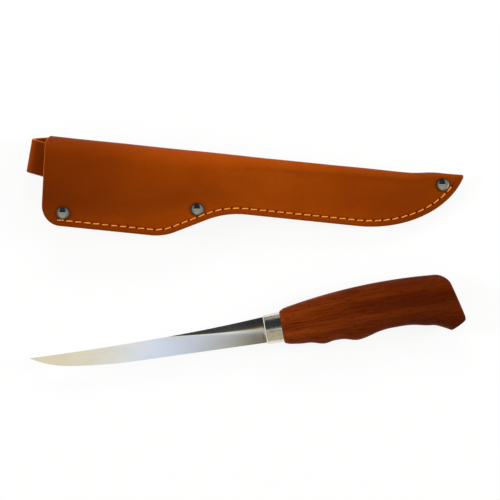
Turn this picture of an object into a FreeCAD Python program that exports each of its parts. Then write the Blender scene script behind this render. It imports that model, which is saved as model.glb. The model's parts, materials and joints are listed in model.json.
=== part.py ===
import FreeCAD, Part
import math
import os
import re
import Sketcher
from FreeCAD import Placement, Rotation, Vector

# Fillet knife drawn from its folded leather sheath, both lying on a table.
# Knife frame: origin on the blade axis at the front of the ferrule, X to the butt, Y to the spine.
# Sheath frame: origin at the mouth end of the fold, X to the tip, Y out over the fold, Z to the front.

# Driving sizes in millimetres and degrees.
SIZES = {
    # Blade: outline measured from the ferrule, rises and drops from the axis.
    "blade_length": 154.6,
    "blade_stock": 1.9,
    "heel_rise": 8.6,
    "heel_drop": 8.4,
    "spine_dip_at": 65,
    "spine_dip_rise": 6.65,
    "spine_heel_radius": 1050,
    "spine_tip_radius": 1850,
    "tip_rise": 8.4,
    "point_length": 24.3,
    "point_drop": 1.0,
    "point_radius": 64,
    "belly_length": 45,
    "belly_drop": 5.5,
    "belly_radius": 340,
    "plunge_gap": 6.5,
    "grind_height": 9.2,
    "edge_thickness": 0.35,
    "tip_thickness": 0.8,
    "tang_length": 92,
    "tang_root": 9,
    "tang_end": 5.5,
    # Ferrule: an oval cup with a slot for the tang.
    "ferrule_length": 10.8,
    "ferrule_front_height": 19.0,
    "ferrule_front_thickness": 12.8,
    "ferrule_rear_height": 19.9,
    "ferrule_rear_thickness": 13.6,
    "ferrule_wall": 1.2,
    "ferrule_face": 1.6,
    "ferrule_round": 0.7,
    "slot_clearance": 0.1,
    "tenon_clearance": 0.1,
    # Handle: stations along the grip, each a run from the one before, with its drop below the axis.
    "front_step": 0.7,
    "front_thickness": 14.4,
    "shoulder_run": 3,
    "shoulder_drop": 11.9,
    "shoulder_thickness": 15.2,
    "first_hollow_run": 8.5,
    "first_hollow_drop": 13.1,
    "first_bump_run": 14.7,
    "first_bump_drop": 15.6,
    "second_hollow_run": 7.5,
    "second_hollow_drop": 14.6,
    "second_bump_run": 13.5,
    "second_bump_drop": 16.95,
    "palm_run": 27,
    "palm_drop": 13.05,
    "hook_run": 24,
    "hook_drop": 16.0,
    "hook_turn_run": 6,
    "hook_turn_drop": 18.9,
    "pommel_run": 5.5,
    "pommel_drop": 22.0,
    "grip_thickness": 16.0,
    "pommel_thickness": 16.8,
    "back_rise": 17.9,
    "back_crown_at": 80,
    "back_radius": 369,
    "butt_overhang": 5.6,
    "butt_slant": 13.5,
    "heel_slant": 30,
    "butt_round": 8.5,
    "heel_round": 3.0,
    "butt_edge": 1.8,
    "bore_height": 11,
    "bore_thickness": 4.4,
    "bore_end_gap": 2,
    # Sheath leather, folded round the knife and sewn over a welt.
    "leather": 1.8,
    "welt": 2.0,
    "welt_width": 9.6,
    "sheath_length": 273,
    "handle_depth": 57.4,
    "blade_depth": 38.3,
    "mouth_corner": 13,
    "seam_bump_at": 74,
    "seam_bump_ratio": 1.78,
    "seam_waist_ratio": 2.88,
    "seam_rise_angle": 27,
    "tip_edge": 1.4,
    "tip_radius": 61.5,
    # Pouch: inner half thickness, and width of the flat seam below its crease where no rivet sets it.
    "mouth_overrun": 6,
    "handle_pocket": 10.1,
    "handle_run": 56,
    "ferrule_pocket": 8.9,
    "crease_gap": 0.5,
    "blade_at": 142,
    "blade_pocket": 4.0,
    "blade_flange": 9.5,
    "point_back": 47,
    "point_pocket": 2.4,
    "point_flange": 9.9,
    "tip_back": 21,
    "tip_flange": 15.3,
    "tip_flare": 2.6,
    # Stitches along the seam.
    "stitch_inset": 3.9,
    "stitch_pitch": 5.7,
    "stitch_length": 4.3,
    "stitch_width": 0.9,
    "stitch_start": 12,
    "stitch_end_gap": 7,
    # Cap rivets.
    "rivet_gap": 0.2,
    "rivet_mouth_at": 15.9,
    "rivet_waist_at": 102.2,
    "rivet_tip_back": 13,
    "cap_diameter": 8.5,
    "cap_rim": 0.7,
    "cap_height": 1.9,
    "back_cap_height": 1.3,
    "stem_diameter": 3.0,
    "stem_grip": 0.8,
    "stem_clearance": 0.1,
    # Belt loop: a strap doubled back behind the mouth, its tail sewn down.
    "strap": 1.8,
    "strap_width": 25,
    "strap_across": 16.4,
    "strap_seat_gap": 0.2,
    "loop_gap": 5.6,
    "loop_reach": 10,
    "loop_flat": 24,
    "loop_close": 12,
    "tail_length": 18,
    "tail_margin": 3.2,
    # Lay of the two pieces on the table.
    "knife_turn": 10,
    "sheath_turn": -5.8,
    "lay_across": 141.9,
    "lay_up": 125.95,
}

doc = FreeCAD.newDocument("FilletKnife")
sheet = doc.addObject("Spreadsheet::Sheet", "Sizes")
for row, (name, value) in enumerate(SIZES.items(), 1):
    sheet.set(f"A{row}", name)
    sheet.set(f"B{row}", str(value))
    sheet.setAlias(f"B{row}", name)
doc.recompute()

ALIASES = re.compile(r"\b(" + "|".join(SIZES) + r")\b")


def cells(text):
    return ALIASES.sub(r"Sizes.\1", str(text))


def size(text):
    return float(sheet.evalExpression(cells(text)))


def bind(thing, sizes):
    for prop, text in sizes.items():
        thing.setExpression(prop, cells(text))


def new(kind, name, sizes=None, **links):
    thing = doc.addObject(kind, name)
    for prop, value in links.items():
        setattr(thing, prop, value)
    bind(thing, sizes or {})
    return thing


def origin_plane(body, role):
    return next(plane for plane in body.Origin.OriginFeatures if plane.Role == role)


def sketch_on(body, name, role, offset=None):
    sketch = body.newObject("Sketcher::SketchObject", name)
    sketch.AttachmentSupport = (origin_plane(body, role), [""])
    sketch.MapMode = "FlatFace"
    if offset:
        bind(sketch, {"AttachmentOffset.Base.z": offset})
    return sketch


def arc_between(start, end, radius, turn):
    # Arc of less than half a circle, turning left (turn 1) or right (turn -1) from start to end.
    chord = end - start
    middle = (start + end) * 0.5
    reach = math.sqrt(max(radius ** 2 - (chord.Length / 2) ** 2, 0))
    left = Vector(-chord.y, chord.x, 0).normalize()
    centre = middle + left * (reach * turn)
    first, last = (start, end) if turn > 0 else (end, start)
    from_angle = math.atan2(first.y - centre.y, first.x - centre.x)
    to_angle = math.atan2(last.y - centre.y, last.x - centre.x)
    return Part.ArcOfCircle(Part.Circle(centre, Vector(0, 0, 1), radius), from_angle, to_angle)


def draw(sketch, corners):
    # Closed outline. A corner is (x, y), or (x, y, radius, turn) where an arc leads to the next one.
    points = [Vector(size(corner[0]), size(corner[1]), 0) for corner in corners]
    ends = []
    for index, corner in enumerate(corners):
        start, end = points[index], points[(index + 1) % len(points)]
        if len(corner) == 2:
            ends.append((sketch.addGeometry(Part.LineSegment(start, end)), 1, 2))
        else:
            arc = arc_between(start, end, size(corner[2]), corner[3])
            near, far = (1, 2) if corner[3] > 0 else (2, 1)
            ends.append((sketch.addGeometry(arc), near, far))
    for index, corner in enumerate(corners):
        edge, near, far = ends[index]
        following, begin, _ = ends[(index + 1) % len(ends)]
        sketch.addConstraint(Sketcher.Constraint("Coincident", edge, far, following, begin))
        for axis, text, value in (("X", corner[0], points[index].x), ("Y", corner[1], points[index].y)):
            place = Sketcher.Constraint("Distance" + axis, -1, 1, edge, near, value)
            bind(sketch, {f"Constraints[{sketch.addConstraint(place)}]": text})
        if len(corner) > 2:
            curve = Sketcher.Constraint("Radius", edge, size(corner[2]))
            bind(sketch, {f"Constraints[{sketch.addConstraint(curve)}]": corner[2]})


def pad(body, name, sketch, thickness, kind="PartDesign::Pad"):
    feature = body.newObject(kind, name)
    feature.Profile = sketch
    feature.SideType = "Symmetric"
    bind(feature, {"Length": thickness})
    doc.recompute()
    return feature


def prism(name, source, thickness):
    return new("Part::Extrusion", name, {"LengthFwd": thickness}, Base=source,
               DirMode="Normal", Solid=True, Symmetric=True)


# Blade: flat stock with a stick tang, flat ground on both sides from the plunge line to the point.
TANG = [
    ("0", "-tang_root / 2"),
    ("tang_length", "-tang_end / 2", "tang_end * 0.6", 1),
    ("tang_length", "tang_end / 2"),
    ("0", "tang_root / 2"),
]
point_at = "(blade_length - point_length)"
belly_at = "(blade_length - point_length - belly_length)"
blade = doc.addObject("PartDesign::Body", "blade")
blade_outline = sketch_on(blade, "blade_outline", "XY_Plane")
draw(blade_outline, TANG + [
    ("0", "heel_rise", "spine_heel_radius", -1),
    ("-spine_dip_at", "spine_dip_rise", "spine_tip_radius", -1),
    ("-blade_length", "tip_rise", "point_radius", 1),
    (f"-{point_at}", "-point_drop", "belly_radius", 1),
    (f"-{belly_at}", "-belly_drop"),
    ("0", "-heel_drop"),
])
pad(blade, "blade_blank", blade_outline, "blade_stock")

rise = "(blade_stock - edge_thickness) / 2"
grind_heel = sketch_on(blade, "grind_heel", "YZ_Plane", "-plunge_gap")
draw(grind_heel, [
    ("-heel_drop - grind_height", f"edge_thickness / 2 - {rise}"),
    ("-heel_drop + 3 * grind_height", f"edge_thickness / 2 + 3 * {rise}"),
    ("-heel_drop + 3 * grind_height", "4 * blade_stock"),
    ("-heel_drop - grind_height", "4 * blade_stock"),
])
tip_drop = f"(heel_drop - (heel_drop - belly_drop) * blade_length / {belly_at})"
tip_height = f"(tip_rise + {tip_drop})"
tip_gain = "(tip_thickness - edge_thickness) / 2"
grind_tip = sketch_on(blade, "grind_tip", "YZ_Plane", "-blade_length - blade_stock")
draw(grind_tip, [
    (f"-{tip_drop} - {tip_height}", f"edge_thickness / 2 - {tip_gain}"),
    (f"-{tip_drop} + 2 * {tip_height}", f"edge_thickness / 2 + 2 * {tip_gain}"),
    (f"-{tip_drop} + 2 * {tip_height}", "4 * blade_stock"),
    (f"-{tip_drop} - {tip_height}", "4 * blade_stock"),
])
grind = blade.newObject("PartDesign::SubtractiveLoft", "grind")
grind.Profile = grind_heel
grind.Sections = [grind_tip]
grind.Ruled = True
doc.recompute()
grind_back = blade.newObject("PartDesign::Mirrored", "grind_back")
grind_back.Originals = [grind]
grind_back.MirrorPlane = (origin_plane(blade, "XY_Plane"), [""])
blade.Tip = grind_back
doc.recompute()


# Ferrule: tapered oval, bored from the rear, slotted for the tang, its front edge rounded off.
ACROSS = Rotation(Vector(1, 1, 1), 120)
FRONT_TURN = 0.3


def ferrule_oval(name, x, inset):
    # Outline of the ferrule's taper at x, drawn in by the inset.
    rings = {}
    for prop, way in (("MajorRadius", "height"), ("MinorRadius", "thickness")):
        front, rear = "ferrule_front_" + way, "ferrule_rear_" + way
        rings[prop] = f"({front} + ({rear} - {front}) * ({x}) / ferrule_length) / 2 - ({inset})"
    ring = new("Part::Ellipse", name, rings)
    ring.Placement = Placement(Vector(size(x), 0, 0), ACROSS)
    bind(ring, {"Placement.Base.x": x})
    return ring


def oval_loft(name, rings):
    ovals = [ferrule_oval(f"{name}_{number}", x, inset) for number, (x, inset) in enumerate(rings)]
    return new("Part::Loft", name, Sections=ovals, Solid=True, Ruled=True)


def tang_slot(name, length, clearance):
    slot = new("Part::Box", name, {
        "Length": length,
        "Width": f"tang_root + 2 * {clearance}",
        "Height": f"blade_stock + 2 * {clearance}",
    })
    bind(slot, {"Placement.Base.y": f"-tang_root / 2 - {clearance}"})
    bind(slot, {"Placement.Base.z": f"-blade_stock / 2 - {clearance}"})
    return slot


ferrule_blank = oval_loft("ferrule_blank", [
    ("0", "ferrule_round"),
    (f"{FRONT_TURN} * ferrule_round", f"{FRONT_TURN} * ferrule_round"),
    ("ferrule_round", "0"),
    ("ferrule_length", "0"),
])
ferrule_bore = oval_loft("ferrule_bore", [
    ("ferrule_face", "ferrule_wall"),
    ("ferrule_length + ferrule_wall", "ferrule_wall"),
])
ferrule_cup = new("Part::Cut", "ferrule_cup", Base=ferrule_blank, Tool=ferrule_bore)
ferrule_slot = tang_slot("ferrule_slot", "ferrule_face", "slot_clearance")
ferrule = new("Part::Cut", "ferrule", Base=ferrule_cup, Tool=ferrule_slot)
doc.recompute()


# Handle: superellipse sections lofted along the grip, cut off at the slanted butt and under the hook.
SECTION_POWER = 2.5
SECTION_POINTS = 12


def grip_section(x, top, drop, thickness):
    middle, half = (top - drop) / 2, (top + drop) / 2
    points = []
    for step in range(SECTION_POINTS):
        angle = 2 * math.pi * step / SECTION_POINTS
        up, out = math.cos(angle), math.sin(angle)
        y = middle + half * math.copysign(abs(up) ** (2 / SECTION_POWER), up)
        z = thickness / 2 * math.copysign(abs(out) ** (2 / SECTION_POWER), out)
        points.append(Vector(x, y, z))
    curve = Part.BSplineCurve()
    curve.interpolate(Points=points, PeriodicFlag=True)
    return Part.Wire(curve.toShape())


def back_height(x):
    radius = size("back_radius")
    return size("back_rise") - radius + math.sqrt(radius ** 2 - (x - size("back_crown_at")) ** 2)


HOLLOW = 1.74
GRIP_STEPS = 4
OVERRUN = 3
GRIP = ["first_bump", "second_hollow", "second_bump", "palm", "hook"]
x = size("ferrule_length")
rim = size("ferrule_rear_height / 2 + front_step")
sections = [grip_section(x, rim, rim, size("front_thickness"))]
for place, wide in (("shoulder", "shoulder_thickness"), ("first_hollow", "grip_thickness")):
    x += size(place + "_run")
    drop = size(place + "_drop")
    sections.append(grip_section(x, back_height(x), drop, size(wide)))
wide = size("grip_thickness")
for place in GRIP:
    # Each run eases from a hollow to a bump or back, with the hollow the broader of the two.
    run, next_drop = size(place + "_run"), size(place + "_drop")
    for step in range(1, GRIP_STEPS + 1):
        share = step / GRIP_STEPS if next_drop > drop else 1 - step / GRIP_STEPS
        fullness = ((1 - math.cos(math.pi * share)) / 2) ** HOLLOW
        here = x + run * step / GRIP_STEPS
        lean = min(drop, next_drop) + abs(next_drop - drop) * fullness
        sections.append(grip_section(here, back_height(here), lean, wide))
    x += run
    drop = next_drop
x += size("hook_turn_run")
sections.append(grip_section(x, back_height(x), size("hook_turn_drop"), wide))
pommel_at = x + size("pommel_run")
# The last run keeps its slopes past the pommel, and the butt is cut off it.
ends = {}
for way, first, last in (("drop", "hook_turn_drop", "pommel_drop"), ("thick", "grip_thickness", "pommel_thickness")):
    ends[way] = size(f"{first} + {OVERRUN} * ({last} - {first})")
x += OVERRUN * size("pommel_run")
sections.append(grip_section(x, back_height(x), ends["drop"], ends["thick"]))
grip_blank = new("Part::Feature", "grip_blank")
grip_blank.Shape = Part.makeLoft(sections, True, True)

PIN_Z = Vector(0, 0, 1)


def meet(first, along, second, across):
    # Where two lines of the outline cross, each given by a point and a direction.
    gap = second - first
    return first + along * ((gap.x * across.y - gap.y * across.x) / (along.x * across.y - along.y * across.x))


def rounded(into, corner, out, radius):
    # The two ends of the arc that rounds a corner, coming along one line and leaving along the other.
    cut = size(radius) * math.tan(into.getAngle(out) / 2)
    first, last = corner - into * cut, corner + out * cut
    return [(first.x, first.y, radius, 1), (last.x, last.y)]


# Butt: cut off along a slanted line, rounded above into the back, with the heel cut away below.
butt_line = Rotation(PIN_Z, size("butt_slant")).multVec(Vector(0, 1, 0))
heel_line = Rotation(PIN_Z, size("heel_slant")).multVec(Vector(1, 0, 0))
butt_point = Vector(pommel_at + size("butt_overhang"), 0, 0)
heel_point = Vector(pommel_at, -size("pommel_drop"), 0)
back_point = Vector(pommel_at, back_height(pommel_at), 0)
crown = Vector(size("back_crown_at"), size("back_rise - back_radius"), 0)
back_line = Rotation(PIN_Z, 90).multVec((back_point - crown).normalize())
heel_corner = meet(heel_point, heel_line, butt_point, butt_line)
butt_corner = meet(back_point, back_line, butt_point, butt_line)
reach = size("8 * pommel_drop")
heel_end, back_end = heel_corner - heel_line * reach, butt_corner + back_line * reach
butt_outline = doc.addObject("Sketcher::SketchObject", "butt_outline")
draw(butt_outline, [
    (heel_end.x, heel_end.y),
    *rounded(heel_line, heel_corner, butt_line, "heel_round"),
    *rounded(butt_line, butt_corner, back_line, "butt_round"),
    (back_end.x, back_end.y),
])
butt_prism = prism("butt_prism", butt_outline, "2 * pommel_drop")
grip_cut = new("Part::Common", "grip_cut", Base=grip_blank, Tool=butt_prism)
doc.recompute()


def on_butt(edge):
    # Edges round the butt, without the straight ones across it.
    marks = [Vector(mark.x, mark.y, 0) for mark in edge.discretize(7)]
    if marks[0].distanceToPoint(marks[3]) < 0.01:
        return False
    return all(butt_outline.Shape.distToShape(Part.Vertex(mark))[0] < 0.01 for mark in marks)


grip_eased = new("Part::Fillet", "grip_eased", Base=grip_cut)
butt_edges = [number for number, edge in enumerate(grip_cut.Shape.Edges, 1) if on_butt(edge)]
grip_eased.Edges = [(number, size("butt_edge"), size("butt_edge")) for number in butt_edges]
doc.recompute()

tenon = oval_loft("tenon", [
    ("ferrule_face + tenon_clearance", "ferrule_wall + tenon_clearance"),
    ("ferrule_length", "ferrule_wall + tenon_clearance"),
])
grip_tenon = new("Part::Fuse", "grip_tenon", Base=grip_eased, Tool=tenon)


def bore_box(name):
    return new("Part::Box", name, {
        "Length": "tang_length + bore_end_gap - ferrule_face - tenon_clearance",
        "Width": "bore_height",
        "Height": "bore_thickness",
        "Placement.Base.x": "ferrule_face + tenon_clearance",
        "Placement.Base.y": "-bore_height / 2",
        "Placement.Base.z": "-bore_thickness / 2",
    })


handle = new("Part::Cut", "handle", Base=grip_tenon, Tool=bore_box("tang_bore"))

# Epoxy: fills the bore all round the tang.
tang_epoxy = doc.addObject("PartDesign::Body", "tang_epoxy")
epoxy_outline = sketch_on(tang_epoxy, "epoxy_outline", "XY_Plane")
draw(epoxy_outline, [
    ("ferrule_face + tenon_clearance", "-bore_height / 2"),
    ("tang_length + bore_end_gap", "-bore_height / 2"),
    ("tang_length + bore_end_gap", "bore_height / 2"),
    ("ferrule_face + tenon_clearance", "bore_height / 2"),
])
pad(tang_epoxy, "epoxy_fill", epoxy_outline, "bore_thickness")
tang_outline = sketch_on(tang_epoxy, "tang_outline", "XY_Plane")
draw(tang_outline, TANG)
pad(tang_epoxy, "tang_room", tang_outline, "blade_stock", "PartDesign::Pocket")
doc.recompute()


# Seam outline, carried past the mouth and the tip, so that one sketch places edge, welt, stitches, rivets.
seam_step = "(handle_depth - blade_depth)"
bump_radius = f"(seam_bump_ratio * {seam_step})"
waist_radius = f"(seam_waist_ratio * {seam_step})"
rise_straight = (f"(({seam_step} - ({bump_radius} + {waist_radius})"
                 " * (1 - cos(seam_rise_angle))) / sin(seam_rise_angle))")
bump_end_x = f"(seam_bump_at + {bump_radius} * sin(seam_rise_angle))"
bump_end_y = f"(-handle_depth + {bump_radius} * (1 - cos(seam_rise_angle)))"
waist_x = f"({bump_end_x} + {rise_straight} * cos(seam_rise_angle))"
waist_y = f"({bump_end_y} + {rise_straight} * sin(seam_rise_angle))"
tip_arc_run = "sqrt(tip_radius ^ 2 - (tip_radius - blade_depth - tip_edge) ^ 2)"
tip_arc_at = f"(sheath_length - {tip_arc_run})"
seam_outline = doc.addObject("Sketcher::SketchObject", "seam_outline")
draw(seam_outline, [
    ("-4 * mouth_overrun", "tip_radius"),
    ("-4 * mouth_overrun", "-handle_depth"),
    ("seam_bump_at", "-handle_depth", bump_radius, 1),
    (bump_end_x, bump_end_y),
    (waist_x, waist_y, waist_radius, -1),
    (f"{waist_x} + {waist_radius} * sin(seam_rise_angle)", "-blade_depth"),
    (tip_arc_at, "-blade_depth", "tip_radius", 1),
    (f"{tip_arc_at} + tip_radius", "tip_radius - blade_depth"),
    (f"{tip_arc_at} + tip_radius", "tip_radius"),
])


def inset_seam(name, inset):
    return new("Part::Offset2D", name, {"Value": f"-{inset}"}, Source=seam_outline, Mode="Pipe", Join="Intersection")


def seam_point(line, x):
    # Point of a seam line at x on its lower run.
    probe = Part.makeLine(Vector(x, -size("handle_depth"), 0), Vector(x, size("tip_flare"), 0))
    return line.Shape.distToShape(probe)[1][0][0]


rivet_inset = "(stitch_inset + stitch_width / 2 + rivet_gap + cap_diameter / 2)"
RIVETS = {"mouth": "rivet_mouth_at", "waist": "rivet_waist_at", "tip": "sheath_length - rivet_tip_back"}
welt_line = inset_seam("welt_line", "welt_width")
stitch_line = inset_seam("stitch_line", "stitch_inset")
rivet_line = inset_seam("rivet_line", rivet_inset)
doc.recompute()
rivet_points = {place: seam_point(rivet_line, size(at)) for place, at in RIVETS.items()}


# Sheath: one piece of leather folded along the top, sewn flat over the welt below.
LEVEL = 0.001
EASE_STEPS = 5


def pouch_section(x, flare, pocket, crease, skin):
    # Flat seam, curved panel and half-round fold, the same front and back; skin 0 is the inside.
    flat = size("welt") / 2 + skin
    radius = pocket + skin
    centre = flare - pocket - size("leather")
    bottom = -size("handle_depth + mouth_overrun")
    depth, swell = centre + crease, radius - flat

    def at(y, z):
        return Vector(x, y, z)

    def panel(side):
        start, end = at(-crease, side * flat), at(centre, side * radius)
        if swell < LEVEL:
            return Part.LineSegment(start, end)
        bow = (depth ** 2 + swell ** 2) / (2 * swell)
        half = math.asin(depth / bow) / 2
        return Part.Arc(start, at(centre - bow * math.sin(half), side * (radius - bow + bow * math.cos(half))), end)

    slope = radius * math.sqrt(0.5)
    edges = [
        Part.LineSegment(at(bottom, flat), at(-crease, flat)),
        panel(1),
        Part.Arc(at(centre, radius), at(centre + slope, slope), at(centre + radius, 0)),
        Part.Arc(at(centre + radius, 0), at(centre + slope, -slope), at(centre, -radius)),
        panel(-1),
        Part.LineSegment(at(-crease, -flat), at(bottom, -flat)),
        Part.LineSegment(at(bottom, -flat), at(bottom, flat)),
    ]
    return Part.Wire([edge.toShape() for edge in edges])


def below_cap(place):
    # Crease that leaves a rivet's cap on the flat seam.
    return -rivet_points[place].y - size("cap_diameter / 2 + crease_gap")


def below_flange(x, flange):
    return -seam_point(seam_outline, x).y - size(flange)


def eased(first, last):
    # Stations that leave one section and arrive at the next without a kink.
    between = []
    for step in range(1, EASE_STEPS + 1):
        share = (1 - math.cos(math.pi * step / EASE_STEPS)) / 2
        x = first[0] + (last[0] - first[0]) * step / EASE_STEPS
        between.append((x, *(a + (b - a) * share for a, b in zip(first[1:], last[1:]))))
    return between


mouth_x, handle_x = -size("mouth_overrun"), size("handle_run")
waist_at, blade_x = size("rivet_waist_at"), size("blade_at")
point_x, tip_x = size("sheath_length - point_back"), size("sheath_length - tip_back")
handle_crease = below_cap("mouth")
tip_crease = below_flange(tip_x, "tip_flange")
shoulders = [
    (handle_x, 0, size("handle_pocket"), handle_crease),
    (waist_at, 0, size("ferrule_pocket"), below_cap("waist")),
    (blade_x, 0, size("blade_pocket"), below_flange(blade_x, "blade_flange")),
    (point_x, 0.15 * size("tip_flare"), size("point_pocket"), below_flange(point_x, "point_flange")),
    (tip_x, 0.85 * size("tip_flare"), size("welt / 2"), tip_crease),
]
stations = [(mouth_x, *shoulders[0][1:]), shoulders[0]]
for first, last in zip(shoulders, shoulders[1:]):
    stations += eased(first, last)
stations.append((size("sheath_length + mouth_overrun"), size("tip_flare"), size("welt / 2"), tip_crease))
pouch_outside = new("Part::Feature", "pouch_outside")
outside = [pouch_section(*station, size("leather")) for station in stations]
pouch_outside.Shape = Part.makeLoft(outside, True, True)
pouch_inside = new("Part::Feature", "pouch_inside")
inside = [pouch_section(*station, 0) for station in stations]
pouch_inside.Shape = Part.makeLoft(inside, True, True)


seam_prism = prism("seam_prism", seam_outline, "4 * handle_pocket")
length_box = new("Part::Box", "length_box", {
    "Length": "sheath_length",
    "Width": "4 * tip_radius",
    "Height": "4 * handle_pocket",
    "Placement.Base.y": "-2 * tip_radius",
    "Placement.Base.z": "-2 * handle_pocket",
})
seam_square = new("Part::Common", "seam_square", Base=seam_prism, Tool=length_box)
doc.recompute()
seam_rounded = new("Part::Fillet", "seam_rounded", Base=seam_square)
mouth_edges = [
    number for number, edge in enumerate(seam_square.Shape.Edges, 1)
    if edge.BoundBox.XMax < 0.01 and edge.BoundBox.YMax < 0.01 - size("handle_depth")
]
seam_rounded.Edges = [(number, size("mouth_corner"), size("mouth_corner")) for number in mouth_edges]
pouch_cut = new("Part::Common", "pouch_cut", Base=pouch_outside, Tool=seam_rounded)
pouch_hollow = new("Part::Cut", "pouch_hollow", Base=pouch_cut, Tool=pouch_inside)
welt_room = new("Part::Common", "welt_room", Base=pouch_inside, Tool=seam_rounded)
welt_inner = prism("welt_inner", welt_line, "4 * handle_pocket")
welt_strip = new("Part::Cut", "welt_strip", Base=welt_room, Tool=welt_inner)
doc.recompute()

flat = size("welt / 2 + leather")
shanks = []
for place, point in rivet_points.items():
    shank = new("Part::Cylinder", "shank_" + place, {
        "Radius": "stem_diameter / 2 + stem_clearance",
        "Height": "4 * handle_pocket",
        "Placement.Base.z": "-2 * handle_pocket",
    })
    shank.Placement.Base.x = point.x
    shank.Placement.Base.y = point.y
    shanks.append(shank)
shank_holes = new("Part::MultiFuse", "shank_holes", Shapes=shanks)
sheath_leather = new("Part::Cut", "sheath_leather", Base=pouch_hollow, Tool=shank_holes)
seam_welt = new("Part::Cut", "seam_welt", Base=welt_strip, Tool=shank_holes)
doc.recompute()

# Rivets: a low cap, sloped off to a flat top, that grips the stem of a post with a blunt cone behind.
CAP_TOP = 0.7
rivet_nodes = []
for place, point in rivet_points.items():
    cap = doc.addObject("PartDesign::Body", "rivet_cap_" + place)
    cap_profile = sketch_on(cap, "cap_profile_" + place, "XZ_Plane")
    socket = "(stem_diameter / 2 + stem_clearance)"
    draw(cap_profile, [
        (socket, "0"),
        ("cap_diameter / 2", "0"),
        ("cap_diameter / 2", "cap_rim"),
        (f"{CAP_TOP} * cap_diameter / 2", "cap_height"),
        ("0", "cap_height"),
        ("0", "stem_grip + stem_clearance"),
        (socket, "stem_grip + stem_clearance"),
    ])
    post = doc.addObject("PartDesign::Body", "rivet_post_" + place)
    post_profile = sketch_on(post, "post_profile_" + place, "XZ_Plane")
    draw(post_profile, [
        ("0", "-back_cap_height"),
        ("cap_diameter / 2", "-cap_rim / 2"),
        ("cap_diameter / 2", "0"),
        ("stem_diameter / 2", "0"),
        ("stem_diameter / 2", "welt + 2 * leather + stem_grip"),
        ("0", "welt + 2 * leather + stem_grip"),
    ])
    for body, profile, height in ((cap, cap_profile, flat), (post, post_profile, -flat)):
        turned = body.newObject("PartDesign::Revolution", "turned_" + body.Name)
        turned.Profile = profile
        turned.ReferenceAxis = (profile, ["V_Axis"])
        turned.Angle = 360
        rivet_nodes.append((body, Vector(point.x, point.y, height)))
doc.recompute()


# Stitches: raised dashes on the flat seam, one run in front and one behind.
def dash(middle, along, outward):
    side = outward.cross(along) * size("stitch_width / 2")
    top = outward * size("stitch_width / 2")
    start = middle - along * size("stitch_length / 2")
    outline = [start - side, start - side * 0.5 + top, start + side * 0.5 + top, start + side]
    return Part.Face(Part.makePolygon(outline + outline[:1])).extrude(along * size("stitch_length"))


def seam_wire():
    edges = Part.__sortEdges__(stitch_line.Shape.Edges)
    return [edge for edge in edges if edge.BoundBox.YMax < size("tip_flare + tip_radius - blade_depth")]


def walk(edges, first, last, pitch):
    # Even steps along the seam from x = first to x = last: middles and directions.
    spots = []
    for edge in edges:
        for point in edge.discretize(Distance=0.05):
            if first <= point.x <= last and point.y < 0:
                spots.append(point)
    spots.sort(key=lambda point: point.x)
    travel = [0]
    for before, after in zip(spots, spots[1:]):
        travel.append(travel[-1] + before.distanceToPoint(after))
    count = int(travel[-1] / pitch)
    marks, index = [], 0
    for number in range(count):
        goal = (number + 0.5) * travel[-1] / count
        while travel[index] < goal:
            index += 1
        ahead, behind = spots[min(index + 8, len(spots) - 1)], spots[max(index - 8, 0)]
        marks.append((spots[index], (ahead - behind).normalize()))
    return marks


marks = walk(seam_wire(), size("stitch_start"), size("sheath_length - stitch_end_gap"), size("stitch_pitch"))
front_dashes = [dash(Vector(p.x, p.y, flat), along, Vector(0, 0, 1)) for p, along in marks]
back_dashes = [dash(Vector(p.x, p.y, -flat), along, Vector(0, 0, -1)) for p, along in marks]
seam_thread_front = new("Part::Feature", "seam_thread_front")
seam_thread_front.Shape = Part.makeCompound(front_dashes)
seam_thread_back = new("Part::Feature", "seam_thread_back")
seam_thread_back.Shape = Part.makeCompound(back_dashes)

# Belt loop: strap profile seen from its edge, the seat at z = 0 and the loop below it.
belt_loop = doc.addObject("PartDesign::Body", "belt_loop")
strap_profile = sketch_on(belt_loop, "strap_profile", "XZ_Plane")
outer_radius = "(strap + loop_gap / 2)"
bend_x = f"(-loop_reach + {outer_radius})"
flat_end = f"({bend_x} + loop_flat)"
tail_start = f"({flat_end} + loop_close)"
full = "(2 * strap + loop_gap)"
draw(strap_profile, [
    (f"{tail_start} + tail_length", "0"),
    (bend_x, "0", outer_radius, 1),
    (f"-loop_reach", f"-{outer_radius}", outer_radius, 1),
    (bend_x, f"-{full}"),
    (flat_end, f"-{full}"),
    (tail_start, "-2 * strap"),
    (f"{tail_start} + tail_length", "-2 * strap"),
])
draw(strap_profile, [
    (f"{tail_start} - strap", "-strap"),
    (bend_x, "-strap", "loop_gap / 2", 1),
    (f"-loop_reach + strap", f"-{outer_radius}", "loop_gap / 2", 1),
    (bend_x, "-strap - loop_gap"),
    (f"{flat_end} - strap / 2", "-strap - loop_gap"),
])
pad(belt_loop, "strap_pad", strap_profile, "strap_width")

# The strap lies along the back panel, square to it at the strap's middle.
skin = size("handle_pocket + leather")
swell = skin - flat
depth = handle_crease - skin
panel = (depth ** 2 + swell ** 2) / (2 * swell)
beyond = size("strap_across") - skin
lean = math.asin(beyond / panel)
seat = Vector(0, -size("strap_across"), -(skin - panel + panel * math.cos(lean)))
strap_turn = Rotation(Vector(1, 0, 0), -math.degrees(lean))
strap_place = Placement(seat + strap_turn.multVec(Vector(0, 0, -size("strap_seat_gap"))), strap_turn)

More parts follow.
